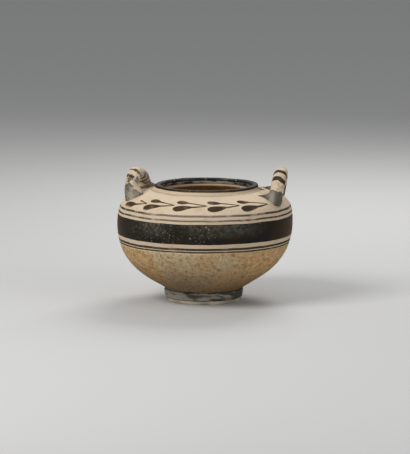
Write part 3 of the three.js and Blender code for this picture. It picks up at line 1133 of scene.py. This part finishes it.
class VESSEL_OT_throw_body(bpy.types.Operator):
    """Throws the body with its foot and rim and paints it"""

    bl_idname = "vessel.throw_body"
    bl_label = "Throw the body"

    def execute(self, context):
        sizes = context.scene.vessel_sizes
        colours = context.scene.vessel_colours
        body, inside = throw_body(sizes)
        body.data.materials.append(paint_outside(sizes, colours))
        inside.data.materials.append(paint_inside(sizes, colours))
        pick(body, inside)
        bpy.ops.object.join()
        bpy.ops.object.mode_set(mode="EDIT")
        bpy.ops.mesh.select_all(action="SELECT")
        bpy.ops.mesh.remove_doubles(threshold=MERGE_DISTANCE)
        bpy.ops.mesh.normals_make_consistent(inside=False)
        bpy.ops.object.mode_set(mode="OBJECT")
        mark_heights(body, "above_foot", BELLY_ROOT.y, sizes.rim_top + LIP_ROUNDING)
        roughen(body, "handwork", HANDWORK_GRAIN, HANDWORK_DEPTH, "above_foot")
        roughen(body, "grit", GRIT_GRAIN, GRIT_DEPTH, "bare_clay")
        return {"FINISHED"}


class VESSEL_OT_lute_handles(bpy.types.Operator):
    """Rolls the handles, paints them and lutes them to the body"""

    bl_idname = "vessel.lute_handles"
    bl_label = "Lute the handles"

    def execute(self, context):
        sizes = context.scene.vessel_sizes
        colours = context.scene.vessel_colours
        body = bpy.data.objects["painted_vessel"]
        first_handle_material = len(body.data.materials)
        for each in HANDLES:
            handle = roll_handle(sizes, each)
            handle.data.materials.append(paint_handle(sizes, colours, each))
            lute(body, handle)
        drop_idle_points(body)
        smooth_joints(body, first_handle_material)
        draw_off_axis(body, sizes)
        pick(body)
        bpy.ops.object.shade_smooth_by_angle(angle=math.radians(SMOOTH_ANGLE))
        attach(body, "root")
        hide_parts("vessel")
        return {"FINISHED"}


def plain_finish(name, colour, roughness):
    material = bpy.data.materials.new(name)
    material.use_nodes = True
    shader = material.node_tree.nodes["Principled BSDF"]
    shader.inputs["Base Color"].default_value = (*colour, 1.0)
    shader.inputs["Roughness"].default_value = roughness
    return material


def add_lamp(name, place, target, size, watts):
    """A square soft lamp at a place, turned to a target."""
    deselect_all()
    turn = (target - place).to_track_quat("-Z", "Y").to_euler()
    bpy.ops.object.light_add(type="AREA", location=place, rotation=turn)
    lamp = bpy.context.active_object
    lamp.name = name
    lamp.data.size = size
    lamp.data.energy = watts


class VESSEL_OT_set_stage(bpy.types.Operator):
    """Lays the floor, sets the lamps and places the camera"""

    bl_idname = "vessel.set_stage"
    bl_label = "Set the stage"

    def execute(self, context):
        stage = context.scene.vessel_stage
        target = Vector((0, 0, stage.target_height))
        deselect_all()
        bpy.ops.mesh.primitive_plane_add(size=FLOOR_SIZE)
        floor = bpy.context.active_object
        floor.name = "floor"
        floor.data.materials.append(plain_finish("pale_floor", stage.floor_colour, FLOOR_ROUGHNESS))
        add_lamp("key_lamp", KEY_PLACE, target, KEY_SIZE, stage.key_power)
        add_lamp("fill_lamp", FILL_PLACE, target, FILL_SIZE, stage.fill_power)
        add_lamp("back_lamp", BACK_PLACE, target, BACK_SIZE, stage.back_power)
        world = bpy.data.worlds.new("studio")
        world.use_nodes = True
        sky = world.node_tree.nodes["Background"]
        sky.inputs["Color"].default_value = (*stage.sky_colour, 1.0)
        sky.inputs["Strength"].default_value = SKY_STRENGTH
        context.scene.world = world
        context.scene.view_settings.view_transform = "Standard"
        away = Vector(
            (
                math.sin(stage.azimuth) * math.cos(stage.elevation),
                -math.cos(stage.azimuth) * math.cos(stage.elevation),
                math.sin(stage.elevation),
            )
        )
        turn = (-away).to_track_quat("-Z", "Y").to_euler()
        bpy.ops.object.camera_add(location=target + away * stage.distance, rotation=turn)
        camera = bpy.context.active_object
        camera.data.lens = camera.data.sensor_width * stage.distance / stage.view_height
        context.scene.camera = camera
        return {"FINISHED"}


class VESSEL_PT_sidebar(bpy.types.Panel):
    """The steps of the making and the values they use"""

    bl_idname = "VESSEL_PT_sidebar"
    bl_label = "Painted vessel"
    bl_space_type = "VIEW_3D"
    bl_region_type = "UI"
    bl_category = "Vessel"

    def draw(self, context):
        for step in STEPS:
            self.layout.operator(step.bl_idname)
        for group in (context.scene.vessel_sizes, context.scene.vessel_colours, context.scene.vessel_stage):
            box = self.layout.box()
            for key in group.__annotations__:
                box.prop(group, key)


STEPS = (VESSEL_OT_throw_body, VESSEL_OT_lute_handles, VESSEL_OT_set_stage)
CLASSES = (VesselSizes, VesselColours, VesselStage, *STEPS, VESSEL_PT_sidebar)


def register():
    for each in CLASSES:
        bpy.utils.register_class(each)
    bpy.types.Scene.vessel_sizes = bpy.props.PointerProperty(type=VesselSizes)
    bpy.types.Scene.vessel_colours = bpy.props.PointerProperty(type=VesselColours)
    bpy.types.Scene.vessel_stage = bpy.props.PointerProperty(type=VesselStage)


def unregister():
    del bpy.types.Scene.vessel_stage
    del bpy.types.Scene.vessel_colours
    del bpy.types.Scene.vessel_sizes
    for each in reversed(CLASSES):
        bpy.utils.unregister_class(each)


def main():
    register()
    bpy.ops.vessel.throw_body()
    bpy.ops.vessel.lute_handles()
    bpy.ops.vessel.set_stage()


if __name__ == "__main__":
    main()
